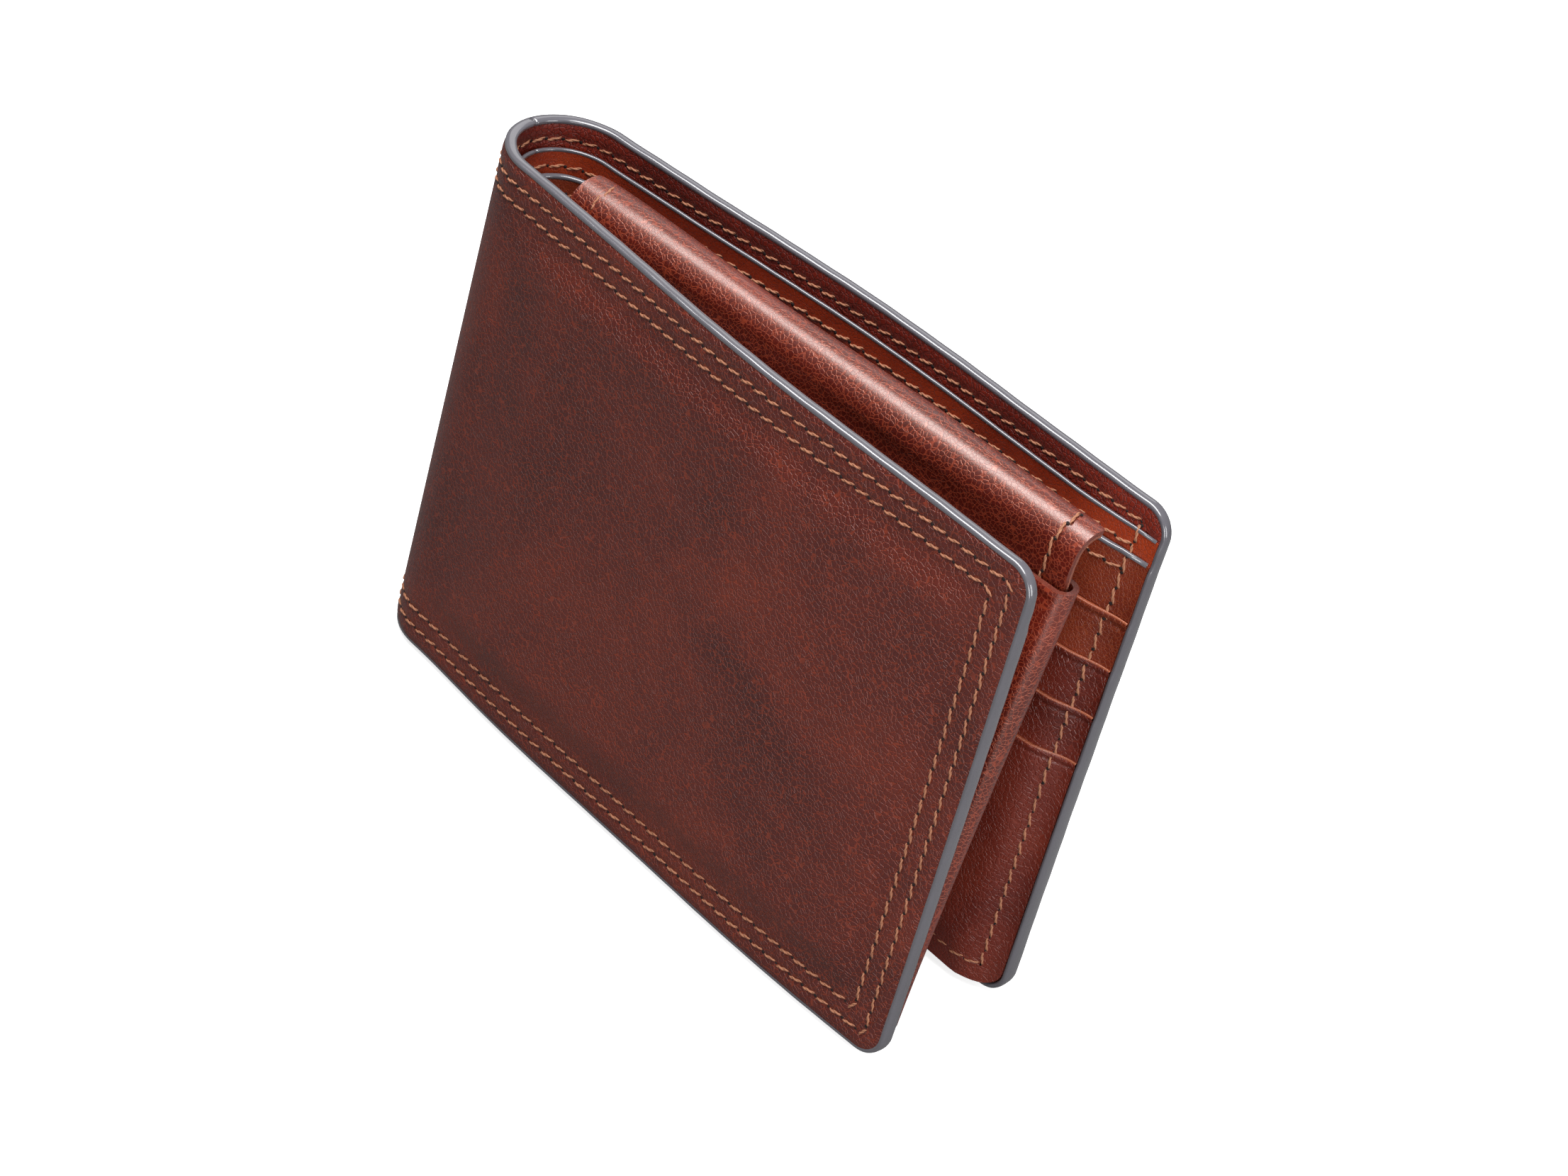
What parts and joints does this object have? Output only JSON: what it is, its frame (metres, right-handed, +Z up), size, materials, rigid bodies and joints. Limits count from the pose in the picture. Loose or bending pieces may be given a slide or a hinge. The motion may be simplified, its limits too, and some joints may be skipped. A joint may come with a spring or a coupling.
{
  "type": "bifold wallet",
  "caption": "Bifold leather wallet standing slightly open, with stitched painted edges, bill divider, card pockets and a gusseted coin pouch with a rolled flap.",
  "frame": {"origin": "middle of the footprint of the standing, slightly open wallet, on the ground", "axes": "+Z up along the spine; the spine is at -X and the free edges at +X; the back cover's outside faces +Y, the front cover's outside faces -Y"},
  "size_m": [0.12, 0.031, 0.089],
  "materials": {
    "outer_leather": "satin",
    "inner_leather": "satin",
    "bright_leather": "satin",
    "padding": "matte",
    "thread": "matte",
    "snap_metal": "polished"
  },
  "bodies": {
    "back_half": {"outer_cover_back": "outer_leather", "cover_padding_back": "padding", "cover_lining_back": "inner_leather", "bill_divider_back": "bright_leather", "card_panel": "inner_leather", "card_pocket_1": "outer_leather", "card_pocket_2": "outer_leather", "card_pocket_3": "outer_leather", "card_pocket_4": "outer_leather", "cover_stitches_back": "thread", "card_panel_stitches": "thread"},
    "spine": {"outer_cover_spine": "outer_leather", "cover_lining_spine": "inner_leather", "bill_divider_spine": "bright_leather", "inner_panel_spine": "inner_leather", "cover_stitches_spine": "thread"},
    "front_half": {"outer_cover_front": "outer_leather", "cover_padding_front": "padding", "cover_lining_front": "inner_leather", "bill_divider_front": "bright_leather", "inner_panel_front": "inner_leather", "cover_stitches_front": "thread", "pouch_back_wall": "outer_leather", "pouch_front_wall": "outer_leather", "pouch_gusset_left": "inner_leather", "pouch_gusset_right": "inner_leather", "pouch_bottom_gusset": "inner_leather", "pouch_stitches": "thread", "pouch_snap_socket": "snap_metal", "flap_root": "outer_leather"},
    "pouch_flap": {"flap_leather_outer": "outer_leather", "flap_lining": "inner_leather", "flap_stitches": "thread", "flap_snap_cap": "snap_metal"}
  },
  "joints": [
    {"name": "spine_hinge", "type": "hinge", "parent": "back_half", "child": "spine", "pos_m": [-0.05741, 0.01331, 0], "axis": [0, 0, -1], "range_deg": [-0.5, 87.6]},
    {"name": "front_hinge", "type": "hinge", "parent": "spine", "child": "front_half", "pos_m": [-0.05811, -0.00349, 0], "axis": [0, 0, -1], "range_deg": [-0.5, 87.6]},
    {"name": "flap_hinge", "type": "hinge", "parent": "front_half", "child": "pouch_flap", "pos_m": [0.00594, 0.00281, 0.0888], "axis": [1, 0, 0], "range_deg": [-0.9, 157.68]}
  ],
  "couplings": [
    {"joint": "front_hinge", "follows": "spine_hinge", "ratio": 1},
    {"joint": "flap_hinge", "follows": "spine_hinge", "ratio": 1.8}
  ]
}
